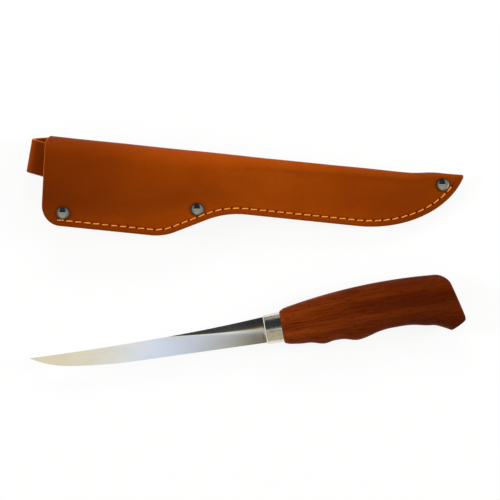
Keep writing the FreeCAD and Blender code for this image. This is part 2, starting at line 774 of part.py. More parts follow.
# Sewing of the tail: a row along each edge and one across each end.
tail_from, tail_to = size(tail_start), size(f"{tail_start} + tail_length - tail_margin")
edge_y = size("strap_width / 2 - tail_margin")
down = Vector(0, 0, -1)
tail_face = -size("2 * strap")
tail_dashes = []
pitch = size("stitch_pitch")
for cross in (tail_from + size("stitch_width"), tail_to):
    count = int(2 * edge_y / pitch)
    for number in range(count):
        y = -edge_y + (number + 0.5) * 2 * edge_y / count
        tail_dashes.append(dash(Vector(cross, y, tail_face), Vector(0, 1, 0), down))
count = int((tail_to - tail_from) / pitch)
for y in (-edge_y, edge_y):
    for number in range(count):
        along = tail_from + size("stitch_width") + (number + 0.5) * (tail_to - tail_from) / count
        tail_dashes.append(dash(Vector(along, y, tail_face), Vector(1, 0, 0), down))
belt_loop_thread = new("Part::Feature", "belt_loop_thread")
belt_loop_thread.Shape = Part.makeCompound(tail_dashes)
doc.recompute()

# The sheath rests on the far edge of its loop, level across, and comes down at the tip until it touches.
roll = Rotation(Vector(1, 0, 0), math.degrees(lean))
pivot = roll.multVec(strap_place.multVec(Vector(size(flat_end), 0, -size(full))))
lowest = [point + Vector(0, 0, -flat - size("back_cap_height")) for point in rivet_points.values()]
for edge in seam_outline.Shape.Edges:
    lowest += [point + Vector(0, 0, -flat) for point in edge.discretize(60)]
angles = []
for point in lowest:
    if size(flat_end) < point.x < size("sheath_length") and point.y < 0:
        turned_point = roll.multVec(point)
        angles.append(math.atan2(turned_point.z - pivot.z, turned_point.x - pivot.x))
level = Rotation(Vector(0, 1, 0), math.degrees(min(angles))).multiply(roll)
heading = level.multVec(Vector(1, 0, 0))
straighten = Rotation(PIN_Z, size("sheath_turn") - math.degrees(math.atan2(heading.y, heading.x)))
sheath_turn = straighten.multiply(level)
loop_edge = sheath_turn.multVec(strap_place.multVec(Vector(size(flat_end), 0, -size(full))))
sheath_place = Placement(Vector(0, 0, -loop_edge.z), sheath_turn)
knife_turn = Rotation(PIN_Z, size("knife_turn"))
knife_rest = -handle.Shape.optimalBoundingBox(False).ZMin
knife_place = Placement(Vector(size("lay_across"), -size("lay_up"), knife_rest), knife_turn)

nodes = [(node, knife_place) for node in (blade, ferrule, handle, tang_epoxy)]
nodes += [(node, sheath_place) for node in (sheath_leather, seam_welt, seam_thread_front, seam_thread_back)]
nodes += [(body, sheath_place.multiply(Placement(place, Rotation()))) for body, place in rivet_nodes]
nodes += [(node, sheath_place.multiply(strap_place)) for node in (belt_loop, belt_loop_thread)]

# Row origin: middle of the table area that the two pieces take up.
box = FreeCAD.BoundBox()
for node, place in nodes:
    node.Placement = place
doc.recompute()
for node, place in nodes:
    box.add(node.Shape.optimalBoundingBox(False))
home = Placement(Vector(-box.Center.x, -box.Center.y, -box.ZMin), Rotation())
for node, place in nodes:
    node.Placement = home.multiply(place)
doc.recompute()

for thing in doc.Objects:
    if "Invalid" in thing.State or "Error" in thing.State:
        raise RuntimeError(f"{thing.Name} did not build: {thing.State}")
for node, place in nodes:
    node.Label = node.Name
    if node.Shape.isNull() or not node.Shape.isValid():
        raise RuntimeError(f"{node.Label} is not a valid shape")

os.makedirs("parts", exist_ok=True)
for node, place in nodes:
    node.Shape.exportStep(f"parts/{node.Label}.step")
    print(node.Label, len(node.Shape.Solids), "solids,", round(node.Shape.Volume, 1), "mm3")
print("lies on", [round(v, 2) for v in (box.XLength, box.YLength, box.ZLength)])
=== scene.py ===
import bisect
import json
import math
import bmesh
import bpy
from mathutils import Matrix, Vector, kdtree, noise


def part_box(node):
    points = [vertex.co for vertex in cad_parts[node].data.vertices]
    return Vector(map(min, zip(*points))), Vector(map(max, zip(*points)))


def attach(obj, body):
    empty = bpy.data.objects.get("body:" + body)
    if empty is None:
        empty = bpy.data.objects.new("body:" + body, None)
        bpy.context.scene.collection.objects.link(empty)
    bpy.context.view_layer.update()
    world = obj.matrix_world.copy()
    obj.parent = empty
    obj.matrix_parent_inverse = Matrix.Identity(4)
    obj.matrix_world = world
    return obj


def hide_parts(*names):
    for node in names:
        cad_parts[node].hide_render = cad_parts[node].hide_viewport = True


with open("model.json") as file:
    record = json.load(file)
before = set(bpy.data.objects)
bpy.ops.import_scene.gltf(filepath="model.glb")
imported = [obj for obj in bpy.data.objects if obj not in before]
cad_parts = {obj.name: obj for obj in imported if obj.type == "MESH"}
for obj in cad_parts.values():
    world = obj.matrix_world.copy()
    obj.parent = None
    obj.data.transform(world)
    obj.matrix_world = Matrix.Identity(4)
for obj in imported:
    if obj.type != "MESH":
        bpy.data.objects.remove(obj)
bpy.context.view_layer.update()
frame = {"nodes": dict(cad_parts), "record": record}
nodes = frame["nodes"]
mm = 0.001


# Small helpers for numbers and paths.
def clamp(value):
    return min(max(value, 0), 1)


def shareOf(value, start, end):
    return clamp((value - start) / (end - start))


def between(first, last, share):
    return first + (last - first) * share


def ease(share):
    return (1 - math.cos(math.pi * share)) / 2


def roundDrop(distance, radius):
    # how far a rounded edge falls away at a distance inside it
    if distance >= radius:
        return 0.0
    return radius - math.sqrt(max(radius ** 2 - (radius - distance) ** 2, 0))


def roundSteps(radius, count):
    # distances over a rounded edge, closest where it falls most, and the drop at each
    gaps = [radius * (1 - math.cos(math.pi / 2 * step / count)) for step in range(count + 1)]
    return [(gap, roundDrop(gap, radius)) for gap in gaps]


def softened(height, x, soft, steps):
    # mean of a line's height to either side of x
    heights = [height(x + soft * step / steps) for step in range(-steps, steps + 1)]
    return sum(heights) / len(heights)


def softLesser(first, second, soft):
    return (first + second - math.sqrt((first - second) ** 2 + soft ** 2)) / 2


def turnAngles(sides):
    return [2 * math.pi * side / sides for side in range(sides)]


def pathTravel(path):
    # distance along the path at each of its points
    travel = [0.0]
    for before, after in zip(path, path[1:]):
        travel.append(travel[-1] + math.dist(before, after))
    return travel


def evenSteps(length, pitch):
    # middles of the whole steps that fill a length
    count = int(length / pitch)
    return [(number + 0.5) * length / count for number in range(count)]


# Helpers for meshes.
def linkPiece(name, place, points, faces, finish, body, sharp=None):
    mesh = bpy.data.meshes.new(name)
    mesh.from_pydata([place @ (Vector(point) * mm) for point in points], [], faces)
    shape = bmesh.new()
    shape.from_mesh(mesh)
    bmesh.ops.recalc_face_normals(shape, faces=shape.faces)
    shape.to_mesh(mesh)
    shape.free()
    mesh.shade_smooth()
    if sharp:
        mesh.set_sharp_from_angle(angle=math.radians(sharp))
    mesh.materials.append(finish)
    piece = bpy.data.objects.new(name, mesh)
    bpy.context.scene.collection.objects.link(piece)
    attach(piece, body)
    print(name + ":", len(points), "points")
    return piece


def paint(piece, name, amounts):
    layer = piece.data.attributes.new(name, "FLOAT", "POINT")
    layer.data.foreach_set("value", amounts)


def ringFaces(columns, ring, start=0):
    # quads between neighbouring closed rings
    faces = []
    for column in range(columns - 1):
        near, far = start + column * ring, start + (column + 1) * ring
        for step in range(ring):
            after = (step + 1) % ring
            faces.append((near + step, near + after, far + after, far + step))
    return faces


def tubeFaces(columns, ring, start=0):
    # the same, with a face over either end
    last = start + (columns - 1) * ring
    ends = [tuple(range(first, first + ring)) for first in (start, last)]
    return ringFaces(columns, ring, start) + ends


def foldFaces(columns, ring, lastWay=1):
    # for rings that run out and back: quads across either end
    faces = ringFaces(columns, ring)
    for near, way in ((0, 1), ((columns - 1) * ring, lastWay)):
        far = near + ring - 1
        for step in range(ring // 2 - 1):
            faces.append((near + step, near + step + 1, far - step - 1, far - step)[::way])
    return faces


# Helpers for finishes.
def addNode(tree, kind, sockets=None, **settings):
    made = tree.nodes.new(kind)
    for key, value in settings.items():
        setattr(made, key, value)
    for key, value in (sockets or {}).items():
        made.inputs[key].default_value = value
    return made


def plug(tree, source, socket):
    # a link from another node, or a plain value
    if isinstance(source, bpy.types.NodeSocket):
        tree.links.new(source, socket)
    else:
        socket.default_value = source


def addRamp(tree, source, stops, tones):
    ramp = addNode(tree, "ShaderNodeValToRGB")
    marks = ramp.color_ramp.elements
    while len(marks) < len(stops):
        marks.new(0.5)
    for mark, stop, tone in zip(marks, stops, tones):
        mark.position = stop
        mark.color = (*tone, 1)
    tree.links.new(source, ramp.inputs["Fac"])
    return ramp.outputs["Color"]


def addMix(tree, amount, first, second):
    mix = addNode(tree, "ShaderNodeMix", data_type="RGBA")
    for number, source in ((0, amount), (6, first), (7, second)):
        plug(tree, (*source, 1) if isinstance(source, tuple) else source, mix.inputs[number])
    return mix.outputs[2]


def addMath(tree, operation, first, second):
    made = addNode(tree, "ShaderNodeMath", operation=operation)
    plug(tree, first, made.inputs[0])
    plug(tree, second, made.inputs[1])
    return made.outputs[0]


def addRange(tree, source, start, end, first, last, kind="SMOOTHSTEP"):
    # goes from the first value at start to the last at end
    made = addNode(tree, "ShaderNodeMapRange", {
        "From Min": start, "From Max": end, "To Min": first, "To Max": last}, interpolation_type=kind)
    tree.links.new(source, made.inputs["Value"])
    return made.outputs["Result"]


def objectPlace(tree, turn=0, stretch=1):
    # piece coordinates, turned about the upright axis and stretched along the turned length
    coordinates = addNode(tree, "ShaderNodeTexCoord")
    straight = addNode(tree, "ShaderNodeMapping", {"Rotation": (0, 0, math.radians(-turn))})
    tree.links.new(coordinates.outputs["Object"], straight.inputs["Vector"])
    scaled = addNode(tree, "ShaderNodeMapping", {"Scale": (stretch, 1, 1)})
    tree.links.new(straight.outputs["Vector"], scaled.inputs["Vector"])
    return scaled.outputs["Vector"]


def addFade(tree, turn, span):
    # start and end along the turned length in metres, and the share at each
    parts = addNode(tree, "ShaderNodeSeparateXYZ")
    tree.links.new(objectPlace(tree, turn), parts.inputs["Vector"])
    return addRange(tree, parts.outputs["X"], *span)


def addGrain(tree, turn, stretch, scale, detail, roughness=0.5):
    made = addNode(tree, "ShaderNodeTexNoise", {
        "Scale": scale, "Detail": detail, "Roughness": roughness})
    tree.links.new(objectPlace(tree, turn, stretch), made.inputs["Vector"])
    return made.outputs["Fac"]


def addPores(tree, scale):
    made = addNode(tree, "ShaderNodeTexVoronoi", {"Scale": scale, "Randomness": 1.0})
    tree.links.new(objectPlace(tree), made.inputs["Vector"])
    return made.outputs["Distance"]


def addBump(tree, shader, height, strength, distance, under=None):
    bump = addNode(tree, "ShaderNodeBump", {"Strength": strength, "Distance": distance})
    tree.links.new(height, bump.inputs["Height"])
    if under:
        tree.links.new(under, bump.inputs["Normal"])
    tree.links.new(bump.outputs["Normal"], shader.inputs["Normal"])
    return bump.outputs["Normal"]


# Finishes. Grains are stretch, scale, detail and roughness of a noise. Tones are share, grain,
# stops and colours, each over the one before. Fades are start and end in metres with the share
# at each, and a colour. Spots are grain, stops, shares and colour. Roughness is grain, low and
# high. Bumps are grain, strength and depth.
knifeAngle = 10  # how the knife lies on the table, degrees
finishLooks = {
    "saddleLeather": {
        "grains": {"cloud": (1, 22, 5), "mottle": (1, 240, 3)},
        "pores": 1500,
        "tones": (
            (1, "cloud", (0.28, 0.5, 0.74), (
                (0.238, 0.0352, 0.001), (0.285, 0.0455, 0.001), (0.33, 0.057, 0.002))),
            (0.18, "mottle", (0.3, 0.7), ((0.238, 0.0352, 0.001), (0.33, 0.057, 0.002))),
        ),
        "fades": (
            ((-0.145, -0.02, 0.85, 0.0), (0.145, 0.0205, 0.0005)),  # darkest at the mouth
            ((0.03, 0.13, 0.0, 0.6), (0.168, 0.0258, 0.0008)),  # darker again to the tip
        ),
        # painted shade: the stitch holes are painted near-black, and the strip outside the stitches
        # darker, through one attribute
        "painted": {"cutEdge": (0.50, 0.15, 0.022), "holeShadeAndDarkFlange": (0.012, 0.004, 0.002)},
        "roughness": ("mottle", 0.42, 0.56),
        "bumps": (("pores", 0.22, 0.0002), ("cloud", 0.06, 0.002)),
        "sockets": {"IOR": 1.09},
    },
    "cutLeatherEdge": {
        "turn": -5.8,
        "grains": {"fibre": (0.25, 900, 6, 0.65)},
        "tones": ((1, "fibre", (0.3, 0.7), ((0.11, 0.032, 0.009), (0.30, 0.105, 0.032))),),
        "roughness": ("fibre", 0.6, 0.85),
        "bumps": (("fibre", 0.5, 0.0003),),
        "sockets": {"Specular IOR Level": 0.25},
    },
    "waxedThread": {
        "grains": {"fuzz": (1, 2600, 3)},
        "tones": ((1, "fuzz", (0.25, 0.62), ((0.80, 0.18, 0.010), (0.96, 0.35, 0.038))),),
        "roughness": ("fuzz", 0.45, 0.7),
        "bumps": (("fuzz", 0.35, 0.00012),),
        "sockets": {"Specular IOR Level": 0.35, "Sheen Weight": 0.15},
    },
    "setGlue": {
        "grains": {"haze": (1, 300, 4)},
        "tones": ((1, "haze", (0.3, 0.7), ((0.10, 0.06, 0.02), (0.28, 0.19, 0.08))),),
        "roughness": ("haze", 0.25, 0.45),
        "bumps": (("haze", 0.2, 0.0003),),
    },
    "oiledWood": {
        "turn": knifeAngle,
        "grains": {
            "bands": (0.09, 130, 4, 0.55), "fibre": (0.05, 1100, 4, 0.6), "flecks": (0.16, 1500, 2)},
        "tones": (
            (1, "bands", (0.3, 0.48, 0.72), (
                (0.055, 0.0052, 0.0004), (0.118, 0.0145, 0.0008), (0.30, 0.056, 0.0050))),
            (0.4, "fibre", (0.32, 0.68), ((0.055, 0.0052, 0.0004), (0.30, 0.056, 0.0050))),
        ),
        "fades": (((0.022, 0.112, 0.0, 0.72), (0.050, 0.005, 0.0004)),),  # darker to the butt
        "spots": ("flecks", (0.6, 0.72), (0, 0.75), (0.020, 0.003, 0.0004)),
        "roughness": ("fibre", 0.36, 0.5),
        "bumps": (("flecks", -0.25, 0.00015), ("fibre", 0.12, 0.0002)),
        "sockets": {"IOR": 1.13},
    },
    "polishedBlade": {
        "turn": knifeAngle,
        "grains": {"smear": (0.5, 60, 3), "lines": (0.02, 2400, 3, 0.6)},
        "tones": ((1, "smear", (0.3, 0.6), ((0.76, 0.76, 0.75), (0.86, 0.86, 0.86))),),
        "fades": (((-0.022, 0.002, 0.0, 0.75), (0.40, 0.37, 0.31)),),  # painted reflection, darker and warmer towards the ferrule
        "roughness": ("lines", 0.05, 0.09),
        "bumps": (("lines", 0.02, 0.00004),),
        "sockets": {"Metallic": 1.0, "Anisotropic": 0.2},
    },
    "paleFloor": {
        "grains": {"paper": (1, 900, 3)},
        "tones": ((1, "paper", (0.3, 0.7), ((0.95, 0.95, 0.95), (0.9785, 0.9785, 0.9785))),),
        "sockets": {"Roughness": 0.9, "Specular IOR Level": 0.1},
    },
}
for name, clean, low, high in (
        ("rivetNickel", (0.496, 0.4992, 0.4752), 0.07, 0.17),
        ("ferruleNickel", (0.776, 0.7488, 0.6552), 0.17, 0.27)):
    finishLooks[name] = {
        "grains": {"rubs": (1, 420, 5, 0.65)},
        "tones": ((1, "rubs", (0.28, 0.55), ((0.60, 0.58, 0.52), clean)),),
        "painted": {"rimShade": (0.07, 0.065, 0.055)},  # painted shade round the rim of a rivet
        "roughness": ("rubs", low, high),
        "bumps": (("rubs", 0.015, 0.00004),),
        "sockets": {"Metallic": 1.0},
    }


def makeFinish(name):
    look = finishLooks[name]
    finish = bpy.data.materials.new(name)
    finish.use_nodes = True
    tree, turn = finish.node_tree, look.get("turn", 0)
    shader = tree.nodes["Principled BSDF"]
    for key, value in look.get("sockets", {}).items():
        shader.inputs[key].default_value = value
    grains = {key: addGrain(tree, turn, *grain) for key, grain in look["grains"].items()}
    if "pores" in look:
        grains["pores"] = addPores(tree, look["pores"])
    tone = None
    for share, grain, stops, colours in look["tones"]:
        layer = addRamp(tree, grains[grain], stops, colours)
        tone = layer if tone is None else addMix(tree, share, tone, layer)
    for span, colour in look.get("fades", ()):
        tone = addMix(tree, addFade(tree, turn, span), tone, colour)
    for mark, colour in look.get("painted", {}).items():
        painted = addNode(tree, "ShaderNodeAttribute", attribute_name=mark)
        tone = addMix(tree, painted.outputs["Fac"], tone, colour)
    if "spots" in look:
        grain, stops, shares, colour = look["spots"]
        grains[grain] = addRamp(tree, grains[grain], stops, [(share,) * 3 for share in shares])
        tone = addMix(tree, grains[grain], tone, colour)
    tree.links.new(tone, shader.inputs["Base Color"])
    if "roughness" in look:
        grain, low, high = look["roughness"]
        rough = addRange(tree, grains[grain], 0, 1, low, high, "LINEAR")
        tree.links.new(rough, shader.inputs["Roughness"])
    under = None
    for grain, strength, depth in look.get("bumps", ()):
        under = addBump(tree, shader, grains[grain], strength, depth, under)
    return finish


leather = makeFinish("saddleLeather")
thread = makeFinish("waxedThread")
rivetMetal = makeFinish("rivetNickel")
ferruleMetal = makeFinish("ferruleNickel")
wood = makeFinish("oiledWood")
steel = makeFinish("polishedBlade")
rivetNames = ("mouth", "waist", "tip")
nodeFinishes = {
    "blade": steel,
    "ferrule": ferruleMetal,
    "handle": wood,
    "tang_epoxy": makeFinish("setGlue"),
}
for name in rivetNames:
    nodeFinishes["rivet_cap_" + name] = nodeFinishes["rivet_post_" + name] = rivetMetal
for name, finish in nodeFinishes.items():
    nodes[name].data.materials.clear()
    nodes[name].data.materials.append(finish)
print("finishes on", len(nodeFinishes), "solids")

# The sheath's own axes: the strap's two mounts give the directions, the first rivet the place.
sheathLay = {
    "lean": 4.256,  # the back panel's slope under the strap, degrees
    "firstRivet": (15.9, -48.6, 3.75),
    "strapFlatMiddle": (6.6, 0, -9.2),
}
mounts = {mount["name"]: mount for mount in frame["record"]["mounts"]}
strapUp = -Vector(mounts["loop_back"]["axis"])
strapAcross = Vector(mounts["belt_slot"]["axis"])
along = strapAcross.cross(strapUp).normalized()
across = Matrix.Rotation(math.radians(sheathLay["lean"]), 3, along) @ strapAcross


def layPiece(axes, localPoint, rowPoint):
    # frame with these axes that puts a local point at a row point
    turn = Matrix(axes).transposed()
    shift = Vector(rowPoint) - turn @ (Vector(localPoint) * mm)
    return Matrix.Translation(shift) @ turn.to_4x4()


capLow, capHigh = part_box("rivet_cap_mouth")
sheathPlace = layPiece(
    (along, across, along.cross(across)), sheathLay["firstRivet"], (capLow + capHigh) / 2)
strapPlace = layPiece(
    (along, strapAcross, strapUp), sheathLay["strapFlatMiddle"], mounts["loop_back"]["pos_m"])
print("sheath mouth at", [round(part / mm, 2) for part in sheathPlace.translation])

# Sheath outline and pouch, in millimetres from the mouth end of the fold.
sheathForm = {
    "length": 273.0,
    "leather": 1.8,
    "weltHalf": 1.0,
    "weltWidth": 9.6,
    "handleDepth": 57.4,
    "bladeDepth": 37.7,
    "mouthCorner": (12.5, 13.0),  # along the edge, and up the mouth
    "bumpAt": 74.0,
    "bumpRadius": 34.0,
    "waistRadius": 55.0,
    "riseAngle": math.radians(27),
    "tipArcAt": 207.0,
    "tipArc": (67.5, 49.5),  # along, and across
    # place along the sheath, flare of the fold, half room inside, depth of the crease
    "shoulders": (
        (-6, 0, 10.1, 43.85),
        (56, 0, 10.1, 43.85),
        (102.2, 0, 8.9, 32.6),
        (142, 0, 4.0, 28.8),
        (236, 0.3, 2.4, 25.5),
        (258, 2.2, 1.0, 11.0),
        (279, 2.6, 1.0, 11.0),
    ),
    "creaseSoft": 4.5,
    "creaseSteps": 3,  # to either side, for the softening
    "leastFold": 0.05,
    "panelSteps": 60,
    "foldSteps": 18,
    "rowCrowding": 0.35,  # rows stand closer by the seam
    "seamLead": 20.0,  # lines inside the seam start this far before the mouth
    "rivets": ((15.9, -48.6), (102.2, -37.31), (260.0, -5.02)),
    "capRadius": 4.25,
}


def seamLine(x):
    # lower edge of the sheath, without the rounded mouth corner
    form = sheathForm
    angle, bump, waist = form["riseAngle"], form["bumpRadius"], form["waistRadius"]
    low, high = -form["handleDepth"], -form["bladeDepth"]
    bumpEnd = form["bumpAt"] + bump * math.sin(angle)
    bumpTop = low + bump * (1 - math.cos(angle))
    straight = (high - low - (bump + waist) * (1 - math.cos(angle))) / math.sin(angle)
    waistStart = bumpEnd + straight * math.cos(angle)
    waistEnd = waistStart + waist * math.sin(angle)
    if x <= form["bumpAt"]:
        return low
    if x <= bumpEnd:
        return low + bump - math.sqrt(bump ** 2 - (x - form["bumpAt"]) ** 2)
    if x <= waistStart:
        return bumpTop + (x - bumpEnd) * math.tan(angle)
    if x <= waistEnd:
        return high - waist + math.sqrt(waist ** 2 - (x - waistEnd) ** 2)
    if x <= form["tipArcAt"]:
        return high
    reach, rise = form["tipArc"]
    return high + rise * (1 - math.sqrt(max(1 - ((x - form["tipArcAt"]) / reach) ** 2, 0)))


def seamEdge(x):
    reach, rise = sheathForm["mouthCorner"]
    if x >= reach:
        return seamLine(x)
    return rise * (1 - math.sqrt(1 - (1 - x / reach) ** 2)) - sheathForm["handleDepth"]


def insetPath(inset, step=0.25):
    # points at a steady distance inside the seam line
    points, x, near = [], -sheathForm["seamLead"], 0.01
    while x < sheathForm["tipArcAt"] + sheathForm["tipArc"][0] - step:
        rise = (seamLine(x + near) - seamLine(x - near)) / (2 * near)
        size = math.hypot(1, rise)
        points.append((x - inset * rise / size, seamLine(x) + inset / size))
        x += step
    return points


def pathHeight(path, x):
    spot = min(max(bisect.bisect(path, (x, -math.inf)), 1), len(path) - 1)
    (x0, y0), (x1, y1) = path[spot - 1], path[spot]
    return between(y0, y1, (x - x0) / (x1 - x0))


def pouchAt(x):
    for first, last in zip(sheathForm["shoulders"], sheathForm["shoulders"][1:]):
        if x <= last[0]:
            share = ease((x - first[0]) / (last[0] - first[0]))
            return [between(a, b, share) for a, b in zip(first[1:], last[1:])]


def halfSection(x, skin, rows):
    # one side of the folded leather at x, from the seam edge up to the top of the fold
    form = sheathForm
    flare, pocket, crease = pouchAt(x)
    flat, radius = form["weltHalf"] + skin, pocket + skin
    centre = flare - pocket - form["leather"]
    edge = min(seamEdge(x), centre + radius - form["leastFold"])
    depth, swell = centre + crease, radius - flat

    def height(y):
        if y >= centre:
            return math.sqrt(max(radius ** 2 - (y - centre) ** 2, 0))
        if y <= -crease or swell < 0.001:
            return flat
        bow = (depth ** 2 + swell ** 2) / (2 * swell)
        return radius - bow + math.sqrt(bow ** 2 - (y - centre) ** 2)

    line = []
    for step in range(form["panelSteps"] if edge < centre else 0):
        y = between(edge, centre, step / form["panelSteps"])
        soft = min(form["creaseSoft"], max(centre - y, 0))
        line.append((y, softened(height, y, soft, form["creaseSteps"])))
    start = math.asin(max(edge - centre, 0) / radius)
    for step in range(form["foldSteps"] + 1):
        angle = between(start, math.pi / 2, step / form["foldSteps"])
        line.append((centre + radius * math.sin(angle), radius * math.cos(angle)))
    travel, crowding = pathTravel(line), form["rowCrowding"]
    section = []
    for row in range(rows):
        share = row / (rows - 1)
        goal = travel[-1] * (crowding * share ** 2 + (1 - crowding) * share)
        spot = min(max(bisect.bisect(travel, goal), 1), len(line) - 1)
        part = (goal - travel[spot - 1]) / max(travel[spot] - travel[spot - 1], 1e-9)
        section.append(tuple(between(a, b, part) for a, b in zip(line[spot - 1], line[spot])))
    return section


def nearestIn(points):
    tree = kdtree.KDTree(len(points))
    for number, (x, y) in enumerate(points):
        tree.insert((x, y, 0), number)
    tree.balance()
    return tree


# Stitch places: even steps along a line inside the seam.
stitchRun = {
    "inset": 3.9,
    "pitch": 5.7,
    "span": (12.0, 266.0),
    "step": 0.05,
    "ahead": 8,  # steps to either side that give a stitch its direction
    "grooveSpan": (9.25, 268.0),  # first and last point of the groove
}


def insideSpan(path, span):
    return [point for point in path if span[0] <= point[0] <= span[1]]


def stitchMarks():
    run, ahead = stitchRun, stitchRun["ahead"]
    spots = insideSpan(insetPath(run["inset"], run["step"]), run["span"])
    travel = pathTravel(spots)
    marks = []
    for goal in evenSteps(travel[-1], run["pitch"]):
        spot = bisect.bisect(travel, goal)
        after, before = spots[min(spot + ahead, len(spots) - 1)], spots[max(spot - ahead, 0)]
        marks.append((Vector(spots[spot]), (Vector(after) - Vector(before)).normalized()))
    return marks, travel[-1] / len(marks)


marks, stitchPitch = stitchMarks()
stitchHoles = [mark - direction * stitchPitch / 2 for mark, direction in marks]
stitchHoles.append(marks[-1][0] + marks[-1][1] * stitchPitch / 2)
print("stitches:", len(marks), "each", round(stitchPitch, 2), "mm")

# Sheath leather: one folded piece with real thickness, pressed down along the seam and round
# the rivets.
leatherRelief = {
    "rows": 70,
    "column": 0.8,
    "endColumn": 0.16,
    "columnGrowth": 1.2,
    "edgeRound": 0.75,
    "innerRound": 0.3,
    "rimWidth": 0.45,  # paler cut edge, and how much of its tone shows
    "rimShare": 0.5,
    "groove": 0.22,
    "grooveWidth": 0.9,
    "dimple": 0.55,
    "dimpleWidth": 0.75,
    # how much painted shade a stitch hole gets
    "holeShade": 0.8,
    "rivetPress": 0.3,
    "rivetReach": 1.6,
    "wave": 0.32,
    "waveLength": (46, 30),
    "waveSeed": 5.0,
    "looseSpan": (9, 21),  # distance from the seam where the waves start and are full
    "flangeShade": 0.17,  # the pressed strip outside the stitches is darker
    "flangeSpan": (3.2, 5.6),
    "ridge": 0.34,  # the blade's back shows through along the fold
    "ridgeWidth": 1.5,
    "ridgeSpan": (108.0, 145.0, 240.0, 257.0),
    "foldCut": 2.8,  # the mouth's corner at the fold is cut back
    "foldCutReach": 6.0,
    "foldCutRun": 18.0,
    "mouthLean": 0.046,  # the mouth runs a little aslant below the fold
    "mouthLeanFrom": -4.0,
    "mouthLeanReach": 60.0,
}


def sheathColumns():
    # close together at both ends
    look, length = leatherRelief, sheathForm["length"]
    places, x, step = [], 0.0, look["endColumn"]
    while x < length / 2:
        places.append(x)
        x += step
        step = min(step * look["columnGrowth"], look["column"])
    return places + [length / 2] + [length - x for x in reversed(places)]


# every quarter of a millimetre along the seam
quarters = [number / 4 for number in range(int(sheathForm["length"] * 4) + 1)]
edgePoints = nearestIn([(x, seamEdge(x)) for x in quarters])
stitchPoints = nearestIn(insideSpan(insetPath(stitchRun["inset"]), stitchRun["grooveSpan"]))
holePoints = nearestIn([tuple(hole) for hole in stitchHoles])


def bellAt(distance, width):
    return math.exp(-(distance / width) ** 2)


def pressedAt(x, y, side):
    # how far the surface sinks at a point, how near a stitch hole is, and the gap to the seam
    look = leatherRelief
    place = (x, y, 0)
    sink = look["groove"] * bellAt(stitchPoints.find(place)[2], look["grooveWidth"])
    hole = bellAt(holePoints.find(place)[2], look["dimpleWidth"])
    sink += look["dimple"] * hole
    for rivet in sheathForm["rivets"]:
        gap = max(math.dist(rivet, (x, y)) - sheathForm["capRadius"], 0)
        sink += look["rivetPress"] * bellAt(gap, look["rivetReach"])
    seamGap = edgePoints.find(place)[2]
    loose = shareOf(seamGap, *look["looseSpan"])
    stretchX, stretchY = look["waveLength"]
    spot = Vector((x / stretchX, y / stretchY, look["waveSeed"] * side))
    sink += look["wave"] * loose * noise.noise(spot)
    flare, pocket, _ = pouchAt(x)
    start, full, fade, end = look["ridgeSpan"]
    ridgeShare = min(shareOf(x, start, full), shareOf(x, end, fade))
    ridgeGap = y - flare + pocket + sheathForm["leather"]
    sink -= look["ridge"] * ridgeShare * bellAt(ridgeGap, look["ridgeWidth"])
    return sink, hole, seamGap


def flangeShade(x, seamGap):
    near, far = leatherRelief["flangeSpan"]
    share = shareOf(seamGap, far, near) * clamp(x / sheathForm["bumpAt"])
    return leatherRelief["flangeShade"] * share


def cutBack(x, y):
    look = leatherRelief
    reach, run = look["foldCutReach"], look["foldCutRun"]
    below = max(look["mouthLeanFrom"] - y, 0)
    x += look["mouthLean"] * below * max(1 - x / look["mouthLeanReach"], 0)
    if y < -reach or x > run:
        return x
    return x + look["foldCut"] * ((y + reach) / reach) ** 2 * (1 - x / run)


def outwardAt(section, row):
    # outward direction of a half section; straight up at the top of the fold
    if row == len(section) - 1:
        return Vector((1, 0))
    before, after = section[max(row - 1, 0)], section[row + 1]
    normal = Vector((before[1] - after[1], after[0] - before[0]))
    return normal.normalized() if normal.length > 1e-6 else Vector((1, 0))


def buildLeather():
    look, form = leatherRelief, sheathForm
    rows, columns = look["rows"], sheathColumns()
    points, rims, holes = [], [], []
    out, back = range(rows), range(rows - 2, -1, -1)
    for x in columns:
        outer, inner = halfSection(x, form["leather"], rows), halfSection(x, 0, rows)
        endGap = min(x, form["length"] - x)
        for side, order in ((1, out), (-1, back)):
            for row in order:
                y, z = outer[row]
                normal = outwardAt(outer, row)
                sink, hole, seamGap = pressedAt(x, y, side)
                edgeGap = min(seamGap, endGap)
                sink += roundDrop(edgeGap, look["edgeRound"])
                y, z = y - normal.x * sink, z - normal.y * sink
                points.append((cutBack(x, y), y, z * side))
                rims.append(max(0.0, 1 - edgeGap / look["rimWidth"]) * look["rimShare"])
                # painted shade in the stitch holes, and the darker strip outside the stitches
                holes.append(max(hole * look["holeShade"], flangeShade(x, seamGap)))
        lift = roundDrop(endGap, look["innerRound"])
        for side, order in ((-1, out), (1, back)):
            for row in order:
                y, z = inner[row]
                points.append((cutBack(x, y), y, (z + lift) * side))
                rims.append(look["rimShare"])
                holes.append(0.0)
    faces = foldFaces(len(columns), 2 * (2 * rows - 1), -1)
    piece = linkPiece(
        "sheathLeather", sheathPlace, points, faces, leather, "sheath")
    paint(piece, "cutEdge", rims)
    paint(piece, "holeShadeAndDarkFlange", holes)
    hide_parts("sheath_leather")


buildLeather()

# Welt: the strip between the layers, its rounded edge showing along the seam.
weltStrip = {
    "setBack": 0.15,
    "edgeRound": 0.35,
    "clear": 0.03,
}


